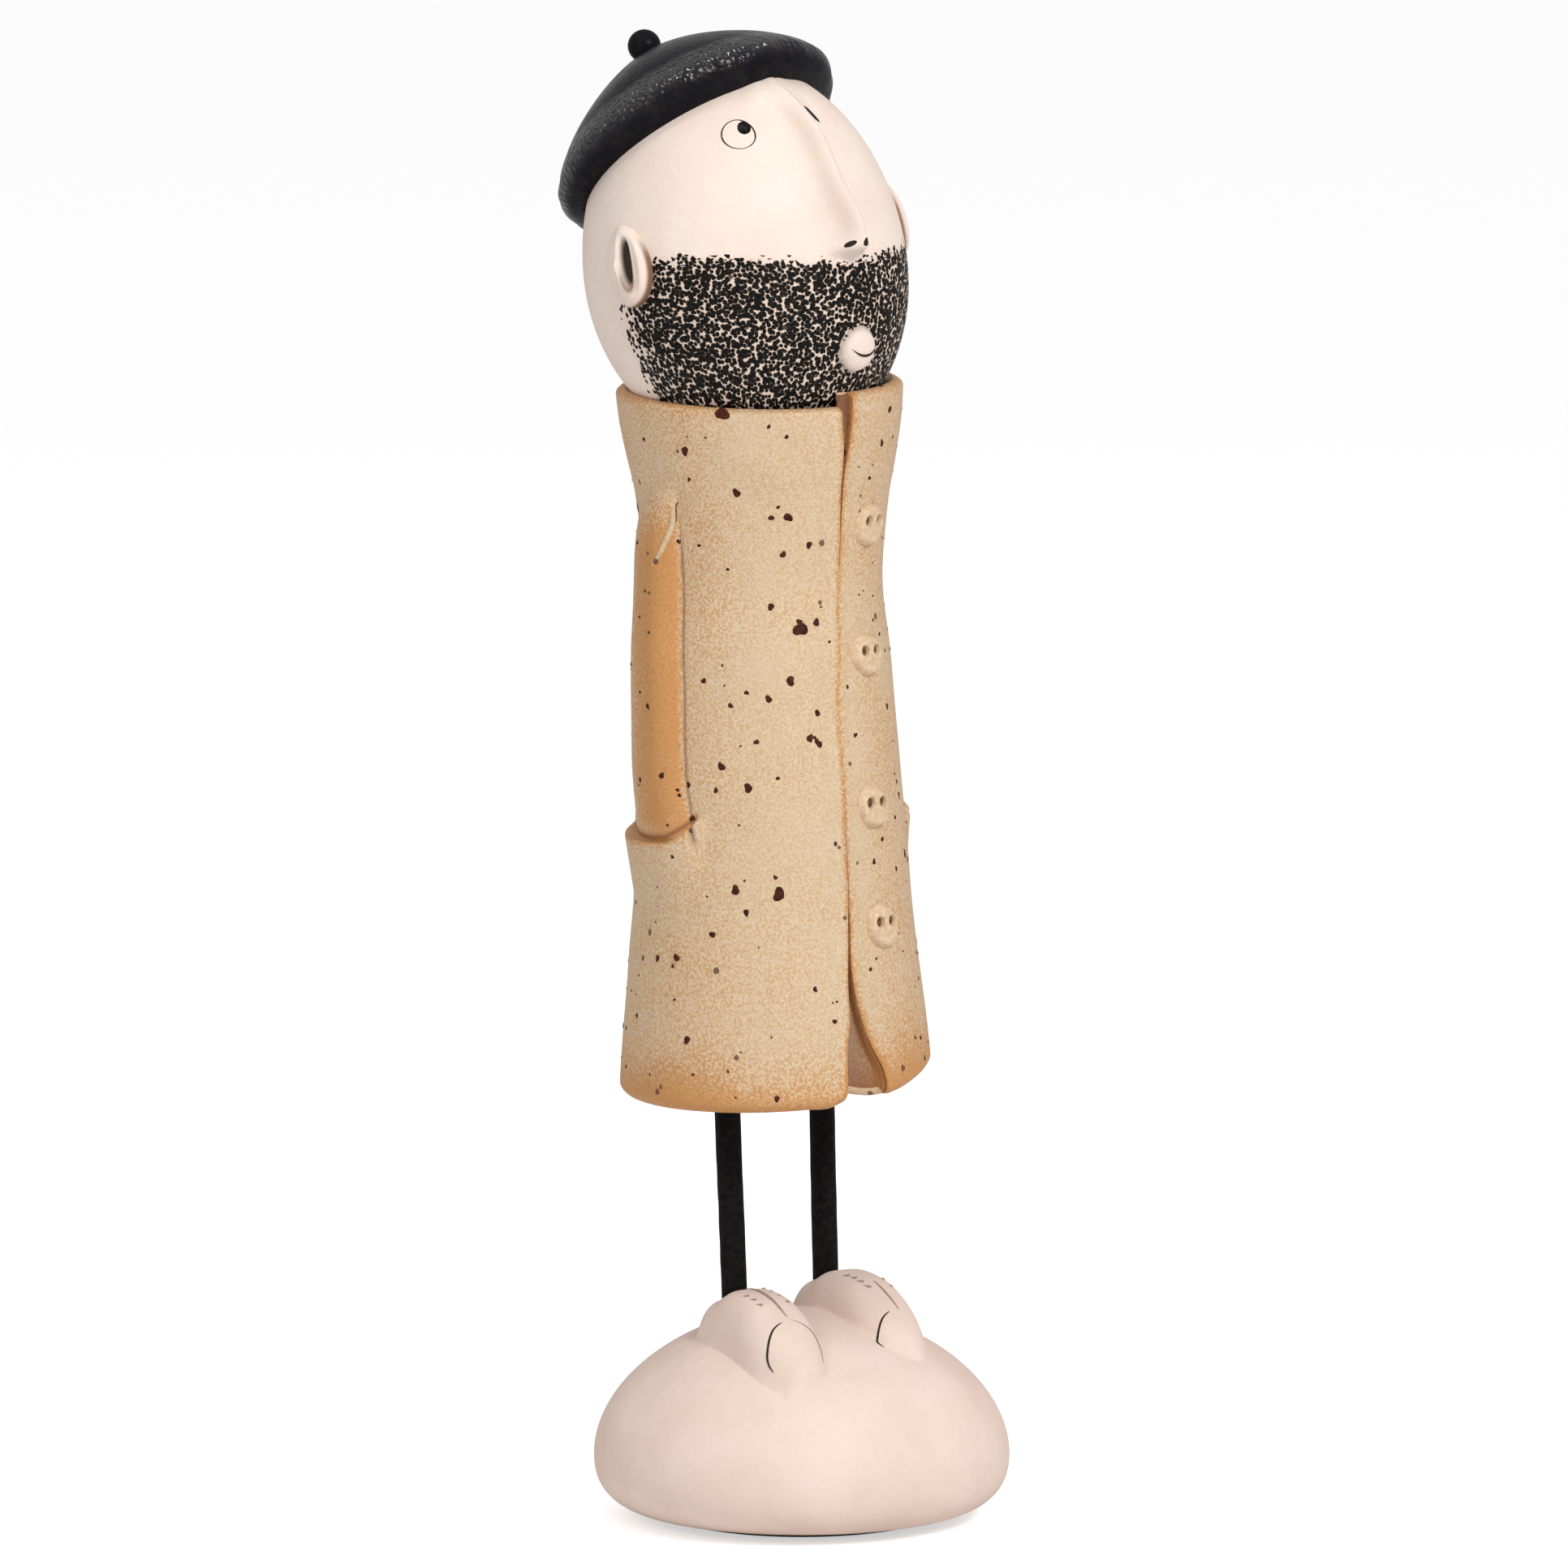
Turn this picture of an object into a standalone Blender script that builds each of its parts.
"""Ceramic man figurine: a bearded man in a long coat and a beret, on two thin metal legs.

The figure faces -Y and stands on z = 0. Its own left is +X. Angles round the coat, the head
and the beret are measured from the front, growing towards the figure's left.
Lengths are in metres.
"""
import math

import bmesh
import bpy
from mathutils import Vector

# Clearances
FIT_GAP = 0.0003
HEAD_GAP = 0.0006
BERET_GAP = 0.0005
BUTTON_GAP = 0.00045

# Felt and mound
FELT_RADIUS = 0.0330
FELT_THICKNESS = 0.0010
MOUND_RADIUS = 0.0516
MOUND_WIDEST_HEIGHT = 0.0154
MOUND_TOP_HEIGHT = 0.0512
MOUND_DOME_POWER = 1.9
MOUND_FOOT_RADIUS = 0.0345
MOUND_FOOT_WIDTH = 0.0085
MOUND_WALL = 0.0060
MOUND_CROWN_WALL = 0.0100

# Shoes
SHOE_SPACING = 0.0332
SHOE_LENGTH = 0.0474
SHOE_LEFT_EXTRA = 0.0050
SHOE_LEFT_RISE = 0.0026
SHOE_WIDTH = 0.0206
SHOE_INSTEP_HEIGHT = 0.0584
SHOE_HEEL_BEHIND_LEG = 0.0094
SHOE_SOLE_HEIGHT = 0.0350
SHOE_ROOT_DEPTH = 0.0010

# Legs
LEG_DIAMETER = 0.0064
LEG_ANKLE_Y = 0.0074
LEG_SOCKET_DEPTH = 0.0090

# Coat
COAT_HEM_HEIGHT = 0.1055
COAT_LENGTH = 0.1745
COAT_WALL = 0.0038
COAT_HEM_RADIUS = 0.0389
COAT_KNEE_RADIUS = 0.0368
COAT_HIP_RADIUS = 0.0346
COAT_WAIST_RADIUS = 0.0320
COAT_CHEST_RADIUS = 0.0293
COAT_SHOULDER_RADIUS = 0.0303
COAT_CENTRE_Y = 0.0083
COAT_LAP_THICKNESS = 0.0026
COAT_LAP_OVERHANG = 0.0060
RIM_ROUNDING = 0.0014
RIM_RISE_X = 0.046
RIM_RISE_Y = 0.062
RIM_STEP = 0.0030
RIM_TUCK = 0.0009
HEM_LIFT = 0.0060
FLOOR_ABOVE_HEM = 0.0400
FLOOR_THICKNESS = 0.0100
FLOOR_SOCKET_DEPTH = 0.0070
CUT_OVERRUN = 0.0020

# Seam, collar notch and hem slit
SEAM_WIDTH = 0.0007
SEAM_DEPTH = 0.0013
NOTCH_WIDTH = 0.0028
NOTCH_DEPTH = 0.0022
NOTCH_LENGTH = 0.0150
SLIT_WIDTH = 0.0110
SLIT_DEPTH = 0.0032
SLIT_LENGTH = 0.0350
SLIT_HEM_LIFT = 0.0032
GROOVE_WALL = 0.0004
EDGE_ROUNDING = 0.0012

# Arms and pockets in relief
ARM_WIDTH = 0.0300
ARM_DEPTH = 0.0042
ARM_SHOULDER_BELOW_RIM = 0.0260
ARM_WRIST_ABOVE_HEM = 0.0660
ARM_BEND_LENGTH = 0.0300
ARM_END_LENGTH = 0.0080
SHOULDER_END_LENGTH = 0.0120
WRIST_NARROWING = 0.0084
POCKET_WIDTH = 0.0360
POCKET_HEIGHT = 0.0165
POCKET_DEPTH = 0.0036
POCKET_LIP = 0.0017

# Buttons
BUTTON_DIAMETER = 0.0108
BUTTON_THICKNESS = 0.0022
BUTTON_HOLE_DIAMETER = 0.0028
BUTTON_HOLE_PITCH = 0.0043
BUTTON_HOLE_RISE = 0.0015

# Head
HEAD_RADIUS = 0.0400
HEAD_UPPER = 0.0515
HEAD_LOWER = 0.0455
HEAD_WALL = 0.0045
HEAD_SEAT_DROP = 0.0270
HEAD_OFFSET_X = -0.0028
HEAD_OFFSET_Y = -0.0006
VENT_RADIUS = 0.0090
NOSE_LENGTH = 0.0340
NOSE_WIDTH = 0.0130
NOSE_HEIGHT = 0.0065
NOSE_TIP_RISE = 0.0085
NOSE_ROOT_DEPTH = 0.0022
EAR_LENGTH = 0.0205
EAR_WIDTH = 0.0150
EAR_THICKNESS = 0.0042
EAR_RISE = 0.0027
EAR_SLOT_LENGTH = 0.0110
EAR_SLOT_WIDTH = 0.0050
EAR_SLOT_DEPTH = 0.0024
EAR_SLOT_FORWARD = 0.0025
MOUTH_WIDTH = 0.0104
MOUTH_HEIGHT = 0.0108
MOUTH_DEPTH = 0.0032
MOUTH_DROP = 0.0173

# Beret
BERET_RADIUS = 0.0378
BERET_CROWN_HEIGHT = 0.0247
BERET_ROLL_HEIGHT = 0.0084
BERET_LIP = 0.0010
BERET_ABOVE_HEAD_CENTRE = 0.0368
BERET_FORWARD_SHIFT = 0.0076
BALL_DIAMETER = 0.0084
BALL_NECK_DIAMETER = 0.0058
BALL_ABOVE_CROWN = 0.0026

# Angles
FACE_ANGLE = math.radians(-6.0)
NOSE_LEAN = math.radians(-9.0)
MOUTH_ANGLE = math.radians(-2.5)
EAR_ANGLE = math.radians(83.0)
EAR_LEAN = math.radians(7.0)
ARM_ANGLE = math.radians(-118.0)
WRIST_ANGLE = math.radians(-101.0)
POCKET_ANGLE = math.radians(-107.0)
ARM_MIRROR_ANGLE = math.radians(-12.0)
BERET_TILT = math.radians(39.0)
HEAD_LEAN = math.radians(5.7)
COAT_LEAN = math.radians(2.0)
LEG_LEAN = math.radians(2.3)
LEG_SPLAY = math.radians(0.7)
SHOE_TURN = math.radians(16.0)

# Counts
LATHE_SEGMENTS = 40
COAT_COLUMNS = 46
COAT_ROWS = 24
HEAD_COLUMNS = 36
BERET_COLUMNS = 40

# The seam wanders round the coat: share of the coat's length and angle from the front
SEAM_PATH = (
    (0.00, math.radians(-19.5)),
    (0.12, math.radians(-17.2)),
    (0.30, math.radians(-14.3)),
    (0.55, math.radians(-12.8)),
    (0.70, math.radians(-9.2)),
    (0.83, math.radians(-9.0)),
    (0.92, math.radians(-10.6)),
    (1.00, math.radians(-11.4)),
)

# Top line of a shoe: share of its length from the heel and share of its height
SHOE_TOP_LINE = (
    (0.00, 0.82),
    (0.12, 0.98),
    (0.23, 0.93),
    (0.34, 1.00),
    (0.45, 0.98),
    (0.57, 0.92),
    (0.71, 0.79),
    (0.86, 0.75),
    (1.00, 0.70),
)

# Buttons: share of the coat's length and angle from the front
BUTTON_PLACES = (
    (0.812, math.radians(10.7)),
    (0.630, math.radians(6.3)),
    (0.417, math.radians(2.5)),
    (0.247, math.radians(2.8)),
)

COAT_CLAY = ("coat_clay", (0.64, 0.50, 0.34), 0.45)
PALE_CLAY = ("pale_clay", (0.82, 0.69, 0.60), 0.75)
BUTTON_CLAY = ("button_clay", (0.76, 0.62, 0.44), 0.85)
BLACK_GLAZE = ("black_glaze", (0.010, 0.009, 0.010), 0.22)
BLACK_METAL = ("black_metal", (0.012, 0.010, 0.010), 0.60)
DARK_FELT = ("dark_felt", (0.060, 0.050, 0.045), 0.95)


def smooth_step(low, high, value):
    """0 below low, 1 above high, with a soft change between."""
    t = min(max((value - low) / (high - low), 0.0), 1.0)
    return t * t * (3.0 - 2.0 * t)


def wrap(angle):
    """The same angle between -180 and 180 degrees."""
    return (angle + math.pi) % (2.0 * math.pi) - math.pi


def path_value(path, share):
    """A value read from a short list of (share, value), straight between its points."""
    for (low, first), (high, second) in zip(path, path[1:]):
        if share <= high:
            return first + (second - first) * max(share - low, 0.0) / (high - low)
    return path[-1][1]


def make_material(name, colour, roughness, metallic=0.0):
    material = bpy.data.materials.get(name) or bpy.data.materials.new(name)
    material.use_nodes = True
    shader = material.node_tree.nodes["Principled BSDF"]
    shader.inputs["Base Color"].default_value = (*colour, 1.0)
    shader.inputs["Roughness"].default_value = roughness
    shader.inputs["Metallic"].default_value = metallic
    return material


def add_object(name, mesh, finish):
    """Put a mesh into the scene with its material, its faces pointing out."""
    cleaner = bmesh.new()
    cleaner.from_mesh(mesh)
    bmesh.ops.recalc_face_normals(cleaner, faces=cleaner.faces)
    cleaner.to_mesh(mesh)
    cleaner.free()
    mesh.shade_smooth()
    mesh.set_sharp_from_angle(angle=math.radians(50.0))
    piece = bpy.data.objects.new(name, mesh)
    bpy.context.scene.collection.objects.link(piece)
    piece.data.materials.clear()
    piece.data.materials.append(make_material(*finish))
    return piece


def mesh_of_rings(name, rings):
    """A closed skin through a stack of rings; a ring of one point closes an end."""
    builder = bmesh.new()
    rows = [[builder.verts.new(point) for point in ring] for ring in rings]
    for first, second in zip(rows, rows[1:]):
        count = max(len(first), len(second))
        for i in range(count):
            j = (i + 1) % count
            if len(first) == 1:
                builder.faces.new((first[0], second[j], second[i]))
            elif len(second) == 1:
                builder.faces.new((first[i], first[j], second[0]))
            else:
                builder.faces.new((first[i], first[j], second[j], second[i]))
    mesh = bpy.data.meshes.new(name)
    builder.to_mesh(mesh)
    builder.free()
    return mesh


def circle(radius, height, count):
    """A ring of points round the z axis."""
    if radius == 0.0:
        return [Vector((0.0, 0.0, height))]
    turns = [2.0 * math.pi * i / count for i in range(count)]
    return [Vector((radius * math.sin(a), -radius * math.cos(a), height)) for a in turns]


def apply_boolean(piece, other, operation):
    """Join or cut a piece with another and drop the other one."""
    modifier = piece.modifiers.new(operation.lower(), "BOOLEAN")
    modifier.operation = operation
    modifier.solver = "EXACT"
    modifier.object = other
    bpy.context.view_layer.update()
    graph = bpy.context.evaluated_depsgraph_get()
    mesh = bpy.data.meshes.new_from_object(piece.evaluated_get(graph))
    piece.modifiers.remove(modifier)
    old = piece.data
    piece.data = mesh
    mesh.name = old.name
    bpy.data.meshes.remove(old)
    bpy.data.objects.remove(other)


# Mound and shoes

FOOT_HEIGHT = FELT_THICKNESS + FIT_GAP


def mound_profile():
    """Radius and height down the outside of the mound, then up the inside."""
    dome = MOUND_TOP_HEIGHT - MOUND_WIDEST_HEIGHT
    curl = MOUND_WIDEST_HEIGHT - FOOT_HEIGHT
    spread = MOUND_RADIUS - MOUND_FOOT_RADIUS
    inner_radius = MOUND_RADIUS - MOUND_WALL
    inner_dome = dome - MOUND_CROWN_WALL
    inner_foot = MOUND_FOOT_RADIUS - MOUND_FOOT_WIDTH
    outer_steps = 9
    inner_steps = 6
    curl_steps = 5
    curl_power = 0.75
    power = 2.0 / MOUND_DOME_POWER
    profile = [(0.0, MOUND_TOP_HEIGHT)]
    for i in range(1, outer_steps + 1):
        a = 0.5 * math.pi * i / outer_steps
        height = MOUND_WIDEST_HEIGHT + dome * max(math.cos(a), 0.0) ** power
        profile.append((MOUND_RADIUS * math.sin(a) ** power, height))
    for i in range(1, curl_steps + 1):
        a = 0.5 * math.pi * i / curl_steps
        out = math.cos(a) ** curl_power if i < curl_steps else 0.0
        profile.append((MOUND_FOOT_RADIUS + spread * out, MOUND_WIDEST_HEIGHT - curl * math.sin(a)))
    profile.append((inner_foot, FOOT_HEIGHT))
    for i in range(curl_steps):
        a = 0.5 * math.pi * (i + 0.5) / curl_steps
        wide = inner_foot + (inner_radius - inner_foot) * math.sin(a)
        profile.append((wide, MOUND_WIDEST_HEIGHT - (curl - MOUND_WALL) * math.cos(a)))
    for i in range(inner_steps + 1):
        a = 0.5 * math.pi * (1.0 - i / inner_steps)
        wide = inner_radius * math.sin(a) if i < inner_steps else 0.0
        profile.append((wide, MOUND_WIDEST_HEIGHT + inner_dome * math.cos(a)))
    return profile


def shoe_point(side, ahead, across, height):
    """A point of a shoe, measured from its leg's foot towards the toe and the figure's left."""
    x = across * math.cos(SHOE_TURN) - ahead * math.sin(SHOE_TURN)
    y = -across * math.sin(SHOE_TURN) - ahead * math.cos(SHOE_TURN)
    return Vector((side * SHOE_SPACING / 2.0 + x, LEG_ANKLE_Y + y, height))


def shoe_mesh(name, side):
    """A shoe as a row of round-topped sections from heel to toe, sunk into the mound."""
    sections = 14
    arch = 13
    end_power = 3.0
    side_power = 0.5
    top_power = 0.42
    length = SHOE_LENGTH + (SHOE_LEFT_EXTRA if side > 0.0 else 0.0)
    full_rise = SHOE_INSTEP_HEIGHT - SHOE_SOLE_HEIGHT + (SHOE_LEFT_RISE if side > 0.0 else 0.0)
    tip_height = SHOE_SOLE_HEIGHT + 0.1 * full_rise
    rings = [[shoe_point(side, -SHOE_HEEL_BEHIND_LEG, 0.0, tip_height)]]
    for i in range(1, sections):
        share = 0.5 - 0.5 * math.cos(math.pi * i / sections)
        end = 1.0 - abs(2.0 * share - 1.0) ** end_power
        half = 0.5 * SHOE_WIDTH * end ** (1.0 / end_power)
        rise = full_rise * path_value(SHOE_TOP_LINE, share) * end**top_power
        ahead = length * share - SHOE_HEEL_BEHIND_LEG
        ring = []
        for j in range(arch):
            a = math.pi * j / (arch - 1)
            across = -half * math.copysign(abs(math.cos(a)) ** side_power, math.cos(a))
            lift = rise * max(math.sin(a), 0.0) ** (2.0 * top_power)
            ring.append(shoe_point(side, ahead, across, SHOE_SOLE_HEIGHT + lift))
        root = SHOE_SOLE_HEIGHT - SHOE_ROOT_DEPTH
        ring.append(shoe_point(side, ahead, 0.5 * half, root))
        ring.append(shoe_point(side, ahead, -0.5 * half, root))
        rings.append(ring)
    rings.append([shoe_point(side, length - SHOE_HEEL_BEHIND_LEG, 0.0, tip_height)])
    return mesh_of_rings(name, rings)


def rod_mesh(name, start, end, diameter, sides=14):
    """A straight round bar between two points."""
    axis = (end - start).normalized()
    across = axis.cross(Vector((0.0, 1.0, 0.0))).normalized()
    up = axis.cross(across)
    ring = []
    for i in range(sides):
        a = 2.0 * math.pi * i / sides
        ring.append(0.5 * diameter * (math.cos(a) * across + math.sin(a) * up))
    return mesh_of_rings(name, [[start], [start + p for p in ring], [end + p for p in ring], [end]])


def leg_point(side, height):
    """A point on a leg's axis at a height."""
    above = height - SHOE_INSTEP_HEIGHT
    out = SHOE_SPACING / 2.0 + math.tan(LEG_SPLAY) * above
    return Vector((side * out, LEG_ANKLE_Y + math.tan(LEG_LEAN) * above, height))


def make_base():
    """The mound with both shoes, one fired piece, with the sockets for the legs."""
    rings = [circle(radius, height, LATHE_SEGMENTS) for radius, height in mound_profile()]
    base = add_object("base", mesh_of_rings("base", rings), PALE_CLAY)
    for side in (-1.0, 1.0):
        shoe = add_object("shoe", shoe_mesh("shoe", side), PALE_CLAY)
        apply_boolean(base, shoe, "UNION")
        bottom = leg_point(side, SHOE_INSTEP_HEIGHT - LEG_SOCKET_DEPTH - FIT_GAP)
        top = leg_point(side, SHOE_INSTEP_HEIGHT + LEG_SOCKET_DEPTH)
        socket = rod_mesh("socket", bottom, top, LEG_DIAMETER + 2.0 * FIT_GAP)
        apply_boolean(base, add_object("socket", socket, PALE_CLAY), "DIFFERENCE")
    return base


def make_felt():
    """The thin felt disc under the mound's foot."""
    edge = 40
    rings = [circle(0.0, 0.0, edge), circle(FELT_RADIUS, 0.0, edge)]
    rings += [circle(FELT_RADIUS, FELT_THICKNESS, edge), circle(0.0, FELT_THICKNESS, edge)]
    return add_object("felt_disc", mesh_of_rings("felt_disc", rings), DARK_FELT)


# Coat

COAT_RIM_HEIGHT = COAT_HEM_HEIGHT + COAT_LENGTH
SEAT_RADIUS = HEAD_RADIUS * math.sqrt(1.0 - (HEAD_SEAT_DROP / HEAD_LOWER) ** 2)
COAT_RIM_RADIUS = SEAT_RADIUS + FIT_GAP + COAT_WALL - RIM_TUCK
COAT_OUTLINE = (
    (0.00, COAT_HEM_RADIUS),
    (0.16, COAT_KNEE_RADIUS),
    (0.30, COAT_HIP_RADIUS),
    (0.52, COAT_WAIST_RADIUS),
    (0.735, COAT_CHEST_RADIUS),
    (0.805, COAT_SHOULDER_RADIUS),
    (0.865, 0.55 * COAT_CHEST_RADIUS + 0.45 * COAT_RIM_RADIUS),
    (0.935, 0.22 * COAT_CHEST_RADIUS + 0.78 * COAT_RIM_RADIUS),
    (1.00, COAT_RIM_RADIUS),
)
FLOOR_BOTTOM = COAT_HEM_HEIGHT + FLOOR_ABOVE_HEM
FLOOR_TOP = FLOOR_BOTTOM + FLOOR_THICKNESS


def coat_share(height):
    return (height - COAT_HEM_HEIGHT) / COAT_LENGTH


def coat_radius(height):
    """Radius of the plain coat, read from its outline with a smooth curve."""
    share = min(max(coat_share(height), 0.0), 1.0)
    points = COAT_OUTLINE
    k = 0
    while k < len(points) - 2 and share > points[k + 1][0]:
        k += 1
    (x0, y0), (x1, y1) = points[k], points[k + 1]
    before = points[max(k - 1, 0)]
    after = points[min(k + 2, len(points) - 1)]
    slope0 = (y1 - before[1]) / (x1 - before[0])
    slope1 = (after[1] - y0) / (after[0] - x0)
    t = (share - x0) / (x1 - x0)
    width = x1 - x0
    return (
        (2 * t**3 - 3 * t**2 + 1) * y0
        + (t**3 - 2 * t**2 + t) * width * slope0
        + (3 * t**2 - 2 * t**3) * y1
        + (t**3 - t**2) * width * slope1
    )


def coat_centre_y(height):
    return COAT_CENTRE_Y + math.tan(COAT_LEAN) * (height - COAT_HEM_HEIGHT)


def seam_angle(height):
    """Angle of the lapping edge, on the figure's right of the seam."""
    return path_value(SEAM_PATH, coat_share(height))


def seam_opening(height):
    """Width and depth of the seam's groove: a notch at the collar and a slit at the hem."""
    from_rim = COAT_RIM_HEIGHT - height
    from_hem = height - COAT_HEM_HEIGHT
    notch = 1.0 - smooth_step(0.30 * NOTCH_LENGTH, NOTCH_LENGTH, from_rim)
    slit = max(1.0 - from_hem / SLIT_LENGTH, 0.0) ** 1.35
    width = SEAM_WIDTH + (NOTCH_WIDTH - SEAM_WIDTH) * notch + (SLIT_WIDTH - SEAM_WIDTH) * slit
    deep = 1.0 - smooth_step(0.75 * SLIT_LENGTH, 1.05 * SLIT_LENGTH, from_hem)
    depth = SEAM_DEPTH + (NOTCH_DEPTH - SEAM_DEPTH) * notch + (SLIT_DEPTH - SEAM_DEPTH) * deep
    return width, depth


def arm_relief(angle, height):
    """How far an arm and its pocket stand out of the coat."""
    shoulder = COAT_RIM_HEIGHT - ARM_SHOULDER_BELOW_RIM
    wrist = COAT_HEM_HEIGHT + ARM_WRIST_ABOVE_HEM
    bend = 1.0 - smooth_step(wrist, wrist + ARM_BEND_LENGTH, height)
    centre = ARM_ANGLE + (WRIST_ANGLE - ARM_ANGLE) * bend
    radius = coat_radius(height)
    half = 0.5 * (ARM_WIDTH - WRIST_NARROWING * bend)
    across = wrap(angle - centre) * radius / half
    body = math.sqrt(max(1.0 - across * across, 0.0))
    along = smooth_step(wrist - 0.75 * ARM_END_LENGTH, wrist + 0.25 * ARM_END_LENGTH, height)
    above = height - shoulder
    along *= 1.0 - smooth_step(-0.67 * SHOULDER_END_LENGTH, 0.33 * SHOULDER_END_LENGTH, above)
    arm = ARM_DEPTH * body * along
    side = wrap(angle - POCKET_ANGLE) * radius / (0.5 * POCKET_WIDTH)
    drop = (wrist - height) / POCKET_HEIGHT
    pocket = 0.0
    if 0.0 < drop < 1.0:
        rim = smooth_step(0.0, POCKET_LIP / POCKET_HEIGHT, drop) * (1.0 - drop) ** 0.8
        pocket = POCKET_DEPTH * math.sqrt(max(1.0 - side * side, 0.0)) * rim
    return max(arm, pocket)


def coat_relief(angle, height):
    """Both arms: the second lies where the first is mirrored over the coat's front."""
    mirrored = 2.0 * ARM_MIRROR_ANGLE - angle
    return max(arm_relief(angle, height), arm_relief(mirrored, height))


def rim_height(angle):
    """Top edge of the collar: it rises to the back and the left, with a step at the seam."""
    radius = COAT_RIM_RADIUS
    start = seam_angle(COAT_RIM_HEIGHT)
    turned = (angle - start) % (2.0 * math.pi)
    step = RIM_STEP * (1.0 - smooth_step(0.8, 4.2, turned))
    rise = RIM_RISE_X * radius * math.sin(angle) - RIM_RISE_Y * radius * math.cos(angle)
    return COAT_RIM_HEIGHT - 0.5 * RIM_STEP + rise + step


def hem_height(angle):
    """Bottom edge of the coat: lifted on the figure's left front and behind the slit."""
    start = seam_angle(COAT_HEM_HEIGHT)
    turned = (angle - start) % (2.0 * math.pi)
    lift = HEM_LIFT * math.exp(-(((turned - 1.05) / 0.70) ** 2))
    behind = turned * COAT_HEM_RADIUS
    if 0.5 * GROOVE_WALL < behind < SLIT_WIDTH:
        lift += SLIT_HEM_LIFT * (1.0 - smooth_step(0.4, 1.0, behind / SLIT_WIDTH))
    return COAT_HEM_HEIGHT + lift


def coat_point(angle, height, inset):
    """A point at a depth inside the plain coat's outer face."""
    radius = coat_radius(height) - inset
    centre_y = coat_centre_y(height)
    return Vector((radius * math.sin(angle), centre_y - radius * math.cos(angle), height))


def coat_columns(height):
    """Angles round the coat at one height, each with its depth below the plain face."""
    radius = coat_radius(height)
    left = seam_angle(height)
    width, depth = seam_opening(height)
    right = left + width / radius
    soft = EDGE_ROUNDING / radius
    wall = min(0.12 * width, GROOVE_WALL) / radius
    columns = [
        (left - soft, 0.0),
        (left, 0.30 * EDGE_ROUNDING),
        (left + wall, depth),
        (0.5 * (left + right), depth),
        (right - wall, depth),
        (right, 0.30 * EDGE_ROUNDING),
        (right + soft, 0.0),
    ]
    rest = 2.0 * math.pi - (right - left) - 2.0 * soft
    for i in range(1, COAT_COLUMNS):
        columns.append((right + soft + rest * i / COAT_COLUMNS, 0.0))
    return columns


def lap_thickness(angle, height):
    """Extra thickness inside, where the slab's two ends lap behind the seam."""
    width, _ = seam_opening(height)
    radius = coat_radius(height)
    middle = seam_angle(height) + 0.5 * width / radius
    half = (0.5 * width + COAT_LAP_OVERHANG) / radius
    away = abs(wrap(angle - middle)) / half
    below_rim = smooth_step(RIM_STEP, 4.0 * RIM_STEP, COAT_RIM_HEIGHT - RIM_STEP - height)
    return COAT_LAP_THICKNESS * (1.0 - smooth_step(0.7, 1.6, away)) * below_rim


def coat_ring(share, inset, inner):
    """One ring of the coat between hem (0) and rim (1), or just inside an edge."""
    nominal = COAT_HEM_HEIGHT + share * COAT_LENGTH
    ring = []
    for angle, cut in coat_columns(nominal):
        low = hem_height(angle) - COAT_HEM_HEIGHT
        high = rim_height(angle) - COAT_RIM_HEIGHT
        height = nominal + low * (1.0 - smooth_step(0.0, 0.12, share))
        height += high * smooth_step(0.90, 1.0, share)
        if inner:
            depth = COAT_WALL - inset + lap_thickness(angle, nominal)
        else:
            depth = inset + cut * (1.0 - inset / COAT_WALL) - coat_relief(angle, height)
        ring.append(coat_point(angle, height, depth))
    return ring


def flat_ring(height, radius_share):
    """A ring of the inner floor at a height, as a share of the inner radius."""
    ring = []
    for angle, _ in coat_columns(height):
        inset = COAT_WALL + lap_thickness(angle, height)
        point = coat_point(angle, height, inset)
        centre = Vector((0.0, coat_centre_y(height), height))
        ring.append(centre + (point - centre) * radius_share)
    return ring


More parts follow.
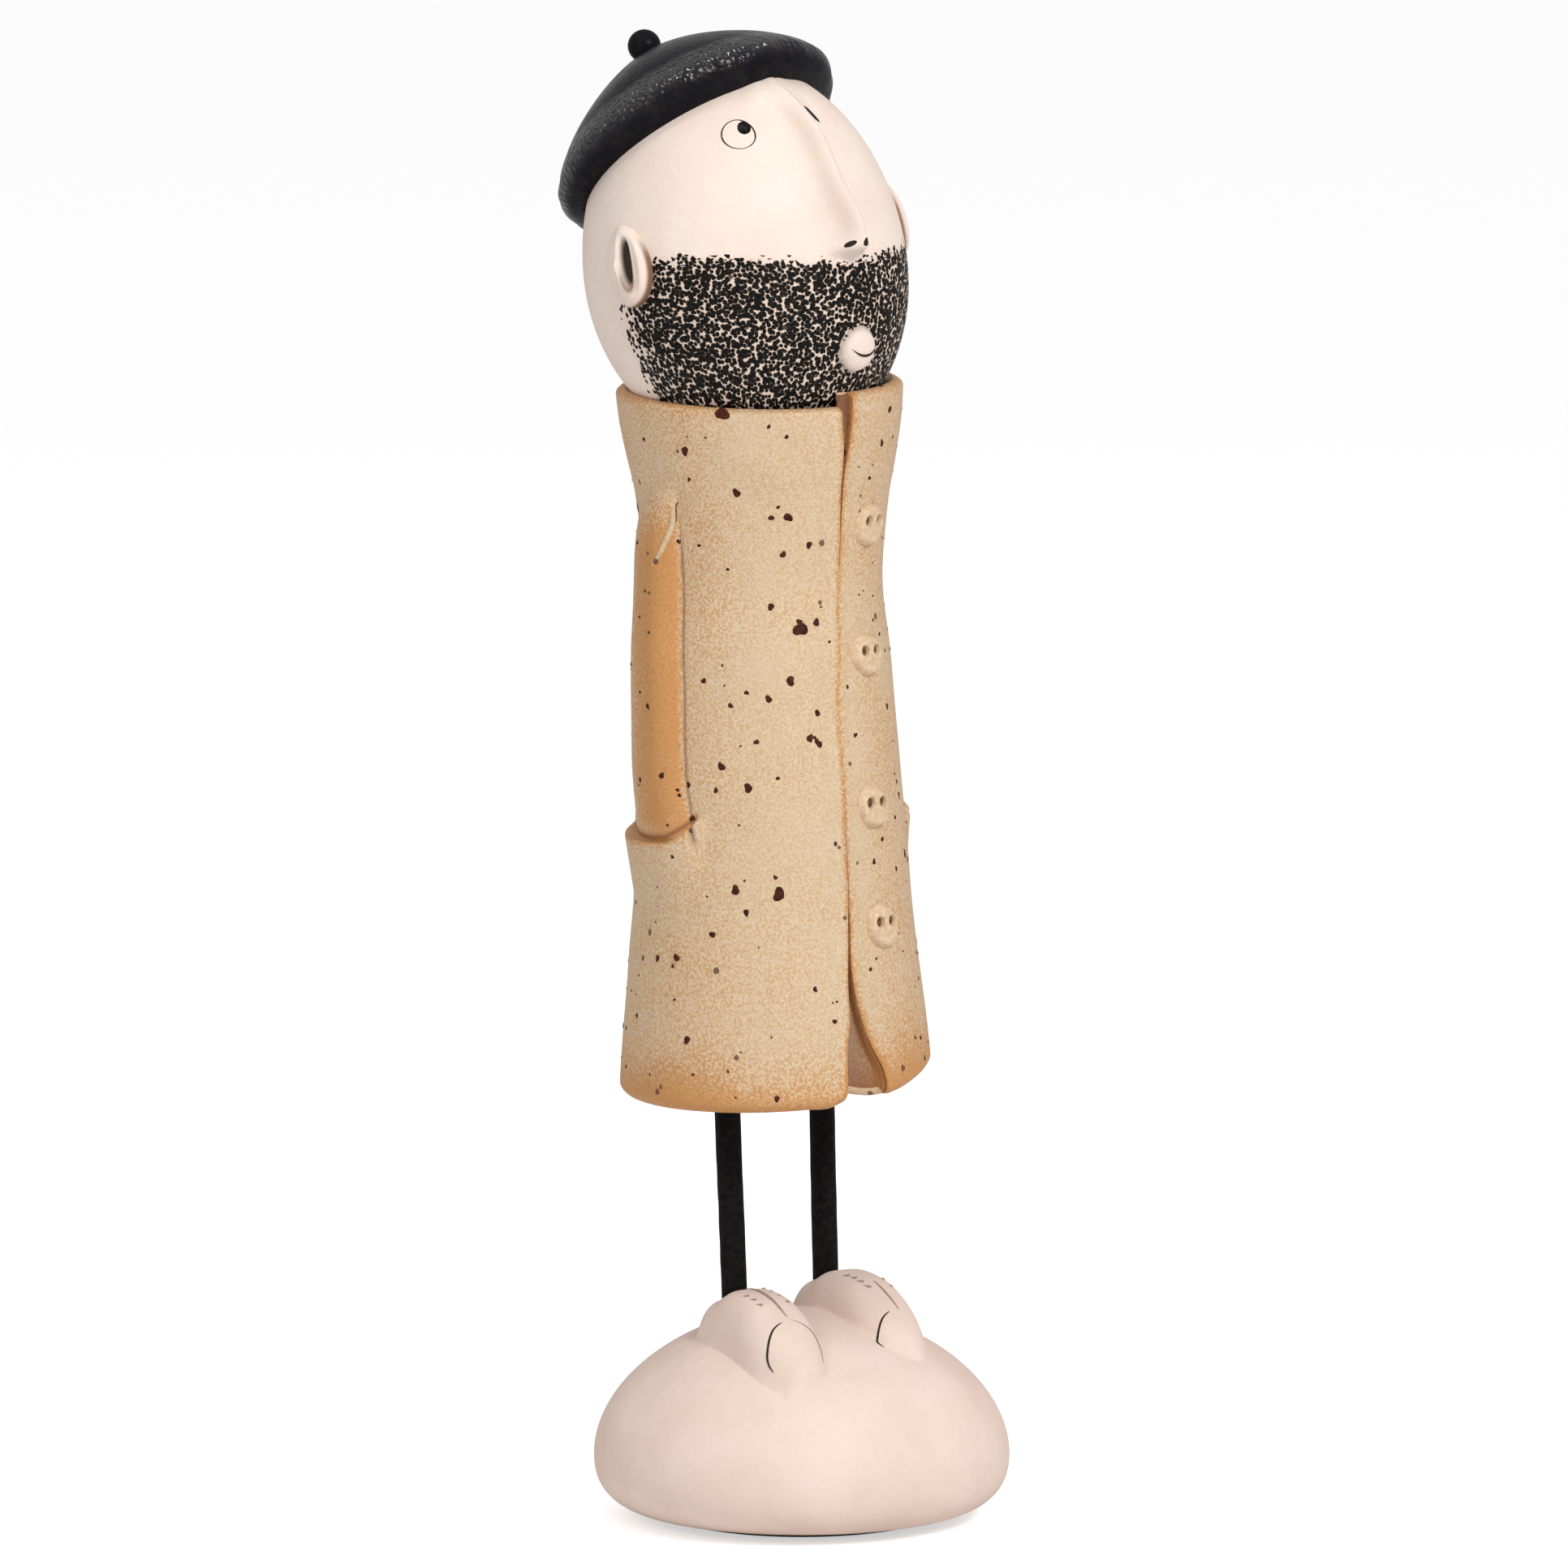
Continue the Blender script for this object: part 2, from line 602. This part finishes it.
def make_coat():
    """The coat: a tube from hem to collar with a floor inside, one fired piece."""
    edge = RIM_ROUNDING / COAT_LENGTH
    outer = [(0.25 * edge, 0.45 * RIM_ROUNDING), (edge, 0.08 * RIM_ROUNDING)]
    outer += [(2.2 * edge + (1.0 - 4.4 * edge) * i / COAT_ROWS, 0.0) for i in range(COAT_ROWS + 1)]
    outer += [(1.0 - edge, 0.08 * RIM_ROUNDING), (1.0 - 0.25 * edge, 0.45 * RIM_ROUNDING)]
    lower_rows = 6
    upper_rows = 9
    floor_low = coat_share(FLOOR_BOTTOM)
    floor_high = coat_share(FLOOR_TOP)
    rings = [[Vector((0.0, coat_centre_y(FLOOR_BOTTOM), FLOOR_BOTTOM))]]
    rings.append(flat_ring(FLOOR_BOTTOM, 0.5))
    for i in range(lower_rows + 1):
        share = floor_low + (2.2 * edge - floor_low) * i / lower_rows
        rings.append(coat_ring(share, 0.0, True))
    rings.append(coat_ring(0.3 * edge, 0.45 * RIM_ROUNDING, True))
    rings.append(coat_ring(0.0, 0.5 * COAT_WALL, False))
    rings += [coat_ring(share, inset, False) for share, inset in outer]
    rings.append(coat_ring(1.0, 0.5 * COAT_WALL, False))
    rings.append(coat_ring(1.0 - 0.3 * edge, 0.45 * RIM_ROUNDING, True))
    for i in range(upper_rows + 1):
        share = 1.0 - 2.2 * edge + (floor_high - 1.0 + 2.2 * edge) * i / upper_rows
        rings.append(coat_ring(share, 0.0, True))
    rings.append(flat_ring(FLOOR_TOP, 0.5))
    rings.append([Vector((0.0, coat_centre_y(FLOOR_TOP), FLOOR_TOP))])
    coat = add_object("coat", mesh_of_rings("coat", rings), COAT_CLAY)
    for side in (-1.0, 1.0):
        bottom = leg_point(side, FLOOR_BOTTOM - CUT_OVERRUN)
        top = leg_point(side, FLOOR_BOTTOM + FLOOR_SOCKET_DEPTH + FIT_GAP)
        socket = rod_mesh("socket", bottom, top, LEG_DIAMETER + 2.0 * FIT_GAP)
        apply_boolean(coat, add_object("socket", socket, COAT_CLAY), "DIFFERENCE")
    return coat


def make_leg(name, side):
    """A black metal bar from its socket in the shoe to its socket in the coat's floor."""
    bottom = leg_point(side, SHOE_INSTEP_HEIGHT - LEG_SOCKET_DEPTH)
    top = leg_point(side, FLOOR_BOTTOM + FLOOR_SOCKET_DEPTH)
    return add_object(name, rod_mesh(name, bottom, top, LEG_DIAMETER), BLACK_METAL)


# Buttons

def flat_button_mesh():
    """A flat disc with two holes and soft edges, lying in XY with its back at z = 0."""
    bevel = 0.0005
    disc = bpy.data.curves.new("button", "CURVE")
    disc.dimensions = "2D"
    disc.fill_mode = "BOTH"
    disc.extrude = 0.5 * BUTTON_THICKNESS - bevel
    disc.bevel_depth = bevel
    disc.bevel_resolution = 0
    half_pitch = 0.5 * BUTTON_HOLE_PITCH
    outlines = [(0.0, 0.0, 0.5 * BUTTON_DIAMETER - bevel, 22)]
    outlines.append((-half_pitch, BUTTON_HOLE_RISE, 0.5 * BUTTON_HOLE_DIAMETER + bevel, 10))
    outlines.append((half_pitch, BUTTON_HOLE_RISE, 0.5 * BUTTON_HOLE_DIAMETER + bevel, 10))
    for x, y, radius, count in outlines:
        spline = disc.splines.new("POLY")
        spline.points.add(count - 1)
        spline.use_cyclic_u = True
        for i, point in enumerate(spline.points):
            a = 2.0 * math.pi * i / count
            point.co = (x + radius * math.cos(a), y + radius * math.sin(a), 0.0, 1.0)
    holder = bpy.data.objects.new("button_outline", disc)
    bpy.context.scene.collection.objects.link(holder)
    bpy.context.view_layer.update()
    graph = bpy.context.evaluated_depsgraph_get()
    mesh = bpy.data.meshes.new_from_object(holder.evaluated_get(graph))
    bpy.data.objects.remove(holder)
    bpy.data.curves.remove(disc)
    joiner = bmesh.new()
    joiner.from_mesh(mesh)
    bmesh.ops.remove_doubles(joiner, verts=joiner.verts, dist=1e-6)
    bmesh.ops.translate(joiner, verts=joiner.verts, vec=(0.0, 0.0, 0.5 * BUTTON_THICKNESS))
    joiner.to_mesh(mesh)
    joiner.free()
    return mesh


def make_button(name, share, angle):
    """A button bent onto the coat's face, a hair off it."""
    mesh = flat_button_mesh()
    middle = COAT_HEM_HEIGHT + share * COAT_LENGTH
    for vertex in mesh.vertices:
        height = middle + vertex.co.y
        turn = angle + vertex.co.x / coat_radius(height)
        lift = BUTTON_GAP + vertex.co.z
        vertex.co = coat_point(turn, height, -lift)
    return add_object(name, mesh, BUTTON_CLAY)


# Head

def head_axis(drop):
    """Place of the egg's axis at a height measured from its widest section."""
    rim_y = coat_centre_y(COAT_RIM_HEIGHT)
    seat = math.tan(HEAD_LEAN) * (drop + HEAD_SEAT_DROP)
    return HEAD_OFFSET_X, rim_y + HEAD_OFFSET_Y + seat


def head_height():
    """Height of the widest section, where the egg just clears the collar's inner edge."""
    inner = COAT_RIM_RADIUS - COAT_WALL + 0.45 * RIM_ROUNDING
    highest = 0.0
    steps = 72
    for i in range(steps):
        angle = 2.0 * math.pi * i / steps
        level = rim_height(angle)
        x = inner * math.sin(angle)
        y = coat_centre_y(COAT_RIM_HEIGHT) - inner * math.cos(angle)
        drop = HEAD_SEAT_DROP
        for _ in range(8):
            axis_x, axis_y = head_axis(-drop)
            reach = math.hypot(x - axis_x, y - axis_y) / (HEAD_RADIUS + HEAD_GAP)
            drop = HEAD_LOWER * math.sqrt(max(1.0 - reach * reach, 0.0))
        highest = max(highest, level + drop)
    return highest


HEAD_HEIGHT = head_height()


def egg_point(angle, rise, inset=0.0):
    """A point of the egg: rise runs from -1 at its bottom to 1 at its top."""
    half = (HEAD_UPPER if rise > 0.0 else HEAD_LOWER) - inset
    radius = (HEAD_RADIUS - inset) * math.sqrt(max(1.0 - rise * rise, 0.0))
    x, y = head_axis(half * rise)
    z = HEAD_HEIGHT + half * rise
    return Vector((x + radius * math.sin(angle), y - radius * math.cos(angle), z))


def egg_ring(rise, inset=0.0):
    turns = [2.0 * math.pi * i / HEAD_COLUMNS for i in range(HEAD_COLUMNS)]
    return [egg_point(angle, rise, inset) for angle in turns]


def egg_frame(angle, rise):
    """A point on the egg with its outward, sideways and upward directions there."""
    step = 0.01
    point = egg_point(angle, rise)
    side = (egg_point(angle + step, rise) - point).normalized()
    up = (egg_point(angle, rise + step) - point).normalized()
    out = side.cross(up).normalized()
    return point, out, side, out.cross(side)


def make_egg():
    """The hollow egg with its vent hole at the bottom."""
    outer_rows = 17
    inner_rows = 11
    vent = -math.sqrt(1.0 - (VENT_RADIUS / HEAD_RADIUS) ** 2)
    inner_vent = -math.sqrt(1.0 - (VENT_RADIUS / (HEAD_RADIUS - HEAD_WALL)) ** 2)
    top = 0.5 * math.pi
    rings = [[egg_point(0.0, 1.0)]]
    for i in range(1, outer_rows + 1):
        a = top - (top - math.asin(vent)) * i / outer_rows
        rings.append(egg_ring(math.sin(a)))
    for i in range(inner_rows):
        a = math.asin(inner_vent) + (top - math.asin(inner_vent)) * i / inner_rows
        rings.append(egg_ring(math.sin(a), HEAD_WALL))
    rings.append([egg_point(0.0, 1.0, HEAD_WALL)])
    return add_object("head", mesh_of_rings("head", rings), PALE_CLAY)


def nose_mesh():
    """A long leaning wedge down the middle of the face, thickest at its tip."""
    stations = 9
    low = NOSE_TIP_RISE / HEAD_UPPER
    high = low + NOSE_LENGTH / HEAD_UPPER
    rings = []
    for i in range(stations + 1):
        share = i / stations
        angle = FACE_ANGLE + NOSE_LEAN * (share - 0.5)
        point, out, side, up = egg_frame(angle, low + (high - low) * share)
        stand = NOSE_HEIGHT * (1.0 - smooth_step(-0.05, 1.05, share) ** 0.8)
        stand *= 0.80 + 0.20 * smooth_step(0.0, 0.18, share)
        half = 0.5 * NOSE_WIDTH * (1.0 - 0.45 * smooth_step(0.0, 1.0, share))
        outline = ((1.0, -NOSE_ROOT_DEPTH), (0.72, 0.25 * stand), (0.20, stand))
        ring = [point - side * (half * wide) + out * lift for wide, lift in outline]
        ring += [point + side * (half * wide) + out * lift for wide, lift in reversed(outline)]
        rings.append(ring)
    ends = [[sum(ring, Vector()) / len(ring)] for ring in (rings[0], rings[-1])]
    return mesh_of_rings("nose", [ends[0]] + rings + [ends[1]])


def blob_mesh(name, point, axes, sizes, rows=8, columns=14):
    """An ellipsoid on three axes, with its half sizes along them."""
    rings = []
    for i in range(rows + 1):
        a = math.pi * i / rows
        if i in (0, rows):
            rings.append([point + axes[2] * sizes[2] * math.cos(a)])
            continue
        ring = []
        for j in range(columns):
            b = 2.0 * math.pi * j / columns
            offset = axes[0] * sizes[0] * math.cos(b) + axes[1] * sizes[1] * math.sin(b)
            ring.append(point + offset * math.sin(a) + axes[2] * sizes[2] * math.cos(a))
        rings.append(ring)
    return mesh_of_rings(name, rings)


def make_head():
    """The egg with its nose, ears and mouth, one fired piece."""
    head = make_egg()
    apply_boolean(head, add_object("nose", nose_mesh(), PALE_CLAY), "UNION")
    for side_sign in (-1.0, 1.0):
        point, out, side, up = egg_frame(FACE_ANGLE + side_sign * EAR_ANGLE, EAR_RISE / HEAD_UPPER)
        forward = -side_sign * side
        lean = (math.cos(EAR_LEAN) * up + math.sin(EAR_LEAN) * forward).normalized()
        across = out.cross(lean).normalized()
        sizes = (EAR_THICKNESS, 0.5 * EAR_WIDTH, 0.5 * EAR_LENGTH)
        ear = blob_mesh("ear", point, (out, across, lean), sizes)
        apply_boolean(head, add_object("ear", ear, PALE_CLAY), "UNION")
        hollow = (EAR_SLOT_DEPTH, 0.5 * EAR_SLOT_WIDTH, 0.5 * EAR_SLOT_LENGTH)
        mouth_of_slot = point + out * EAR_THICKNESS + forward * EAR_SLOT_FORWARD
        dent = blob_mesh("dent", mouth_of_slot, (out, across, lean), hollow)
        apply_boolean(head, add_object("dent", dent, PALE_CLAY), "DIFFERENCE")
    point, out, side, up = egg_frame(MOUTH_ANGLE, -MOUTH_DROP / HEAD_LOWER)
    sizes = (MOUTH_DEPTH, 0.5 * MOUTH_WIDTH, 0.5 * MOUTH_HEIGHT)
    mouth = blob_mesh("mouth", point, (out, side, up), sizes)
    apply_boolean(head, add_object("mouth", mouth, PALE_CLAY), "UNION")
    return head


# Beret

BERET_AXIS = Vector((0.0, math.sin(BERET_TILT), math.cos(BERET_TILT)))
BERET_FRONT = Vector((0.0, -math.cos(BERET_TILT), math.sin(BERET_TILT)))


def beret_point(angle, radius, rise):
    """A point round the beret's axis; rise is measured from its widest section."""
    x, y = head_axis(0.0)
    middle = Vector((x, y, HEAD_HEIGHT))
    centre = middle + BERET_AXIS * (BERET_ABOVE_HEAD_CENTRE + rise) + BERET_FRONT * BERET_FORWARD_SHIFT
    return centre + radius * (math.sin(angle) * Vector((1.0, 0.0, 0.0)) + math.cos(angle) * BERET_FRONT)


def egg_value(point, grow):
    """Below 1 inside the egg grown by a clearance, above 1 outside."""
    drop = point.z - HEAD_HEIGHT
    x, y = head_axis(drop)
    half = (HEAD_UPPER if drop > 0.0 else HEAD_LOWER) + grow
    wide = (HEAD_RADIUS + grow) ** 2
    return ((point.x - x) ** 2 + (point.y - y) ** 2) / wide + (drop / half) ** 2


def reach_of_egg(start, direction, grow):
    """Distance from a point inside the egg to its grown face along a direction."""
    near = 0.0
    far = HEAD_RADIUS + HEAD_UPPER
    for _ in range(40):
        middle = 0.5 * (near + far)
        if egg_value(start + direction * middle, grow) < 1.0:
            near = middle
        else:
            far = middle
    return far


def beret_outer_profile():
    """Radius and rise from the ball's top down to the roll's bottom edge."""
    ball = 0.5 * BALL_DIAMETER
    neck = 0.5 * BALL_NECK_DIAMETER
    ball_rise = BERET_CROWN_HEIGHT + BALL_ABOVE_CROWN
    neck_angle = math.pi - math.asin(neck / ball)
    profile = [(0.0, ball_rise + ball)]
    for i in range(1, 6):
        a = neck_angle * i / 5
        profile.append((ball * math.sin(a), ball_rise + ball * math.cos(a)))
    dome_power = 1.48
    for i in range(9, -1, -1):
        a = 0.5 * math.pi * i / 11
        radius = BERET_RADIUS * math.cos(a) ** dome_power
        if radius > 1.25 * neck:
            profile.append((radius, BERET_CROWN_HEIGHT * math.sin(a) ** dome_power))
    return profile


def make_beret():
    """The solid cap: its hollow underside sits a hair off the egg."""
    turns = [2.0 * math.pi * i / BERET_COLUMNS for i in range(BERET_COLUMNS)]
    rings = []
    for radius, rise in beret_outer_profile():
        if radius == 0.0:
            rings.append([beret_point(0.0, 0.0, rise)])
        else:
            rings.append([beret_point(a, radius, rise) for a in turns])
    edges = []
    for a in turns:
        start = beret_point(a, 0.0, -BERET_ROLL_HEIGHT)
        direction = (beret_point(a, 1.0, 0.0) - beret_point(a, 0.0, 0.0)).normalized()
        edges.append(start + direction * reach_of_egg(start, direction, BERET_GAP))
    roll_steps = 5
    for i in range(1, roll_steps + 1):
        b = 0.5 * math.pi * i / roll_steps
        ring = []
        for a, edge in zip(turns, edges):
            wide = beret_point(a, BERET_RADIUS, 0.0)
            low = beret_point(a, 0.0, -BERET_ROLL_HEIGHT)
            inner = (edge - low).length + BERET_LIP
            radius = inner + (BERET_RADIUS - inner) * math.cos(b)
            ring.append(beret_point(a, radius, -BERET_ROLL_HEIGHT * math.sin(b) ** 0.9))
        rings.append(ring)
    x, y = head_axis(0.0)
    middle = Vector((x, y, HEAD_HEIGHT))
    inner_steps = 8
    for i in range(inner_steps):
        share = i / inner_steps
        ring = []
        for edge in edges:
            direction = ((edge - middle).normalized() * (1.0 - share) + BERET_AXIS * share).normalized()
            ring.append(middle + direction * reach_of_egg(middle, direction, BERET_GAP))
        rings.append(ring)
    rings.append([middle + BERET_AXIS * reach_of_egg(middle, BERET_AXIS, BERET_GAP)])
    return add_object("beret", mesh_of_rings("beret", rings), BLACK_GLAZE)


def main():
    for old in list(bpy.data.objects):
        bpy.data.objects.remove(old)
    make_felt()
    make_base()
    make_leg("leg_right", -1.0)
    make_leg("leg_left", 1.0)
    make_coat()
    for number, (share, angle) in enumerate(BUTTON_PLACES, start=1):
        make_button("button_" + str(number), share, angle)
    make_head()
    make_beret()


main()
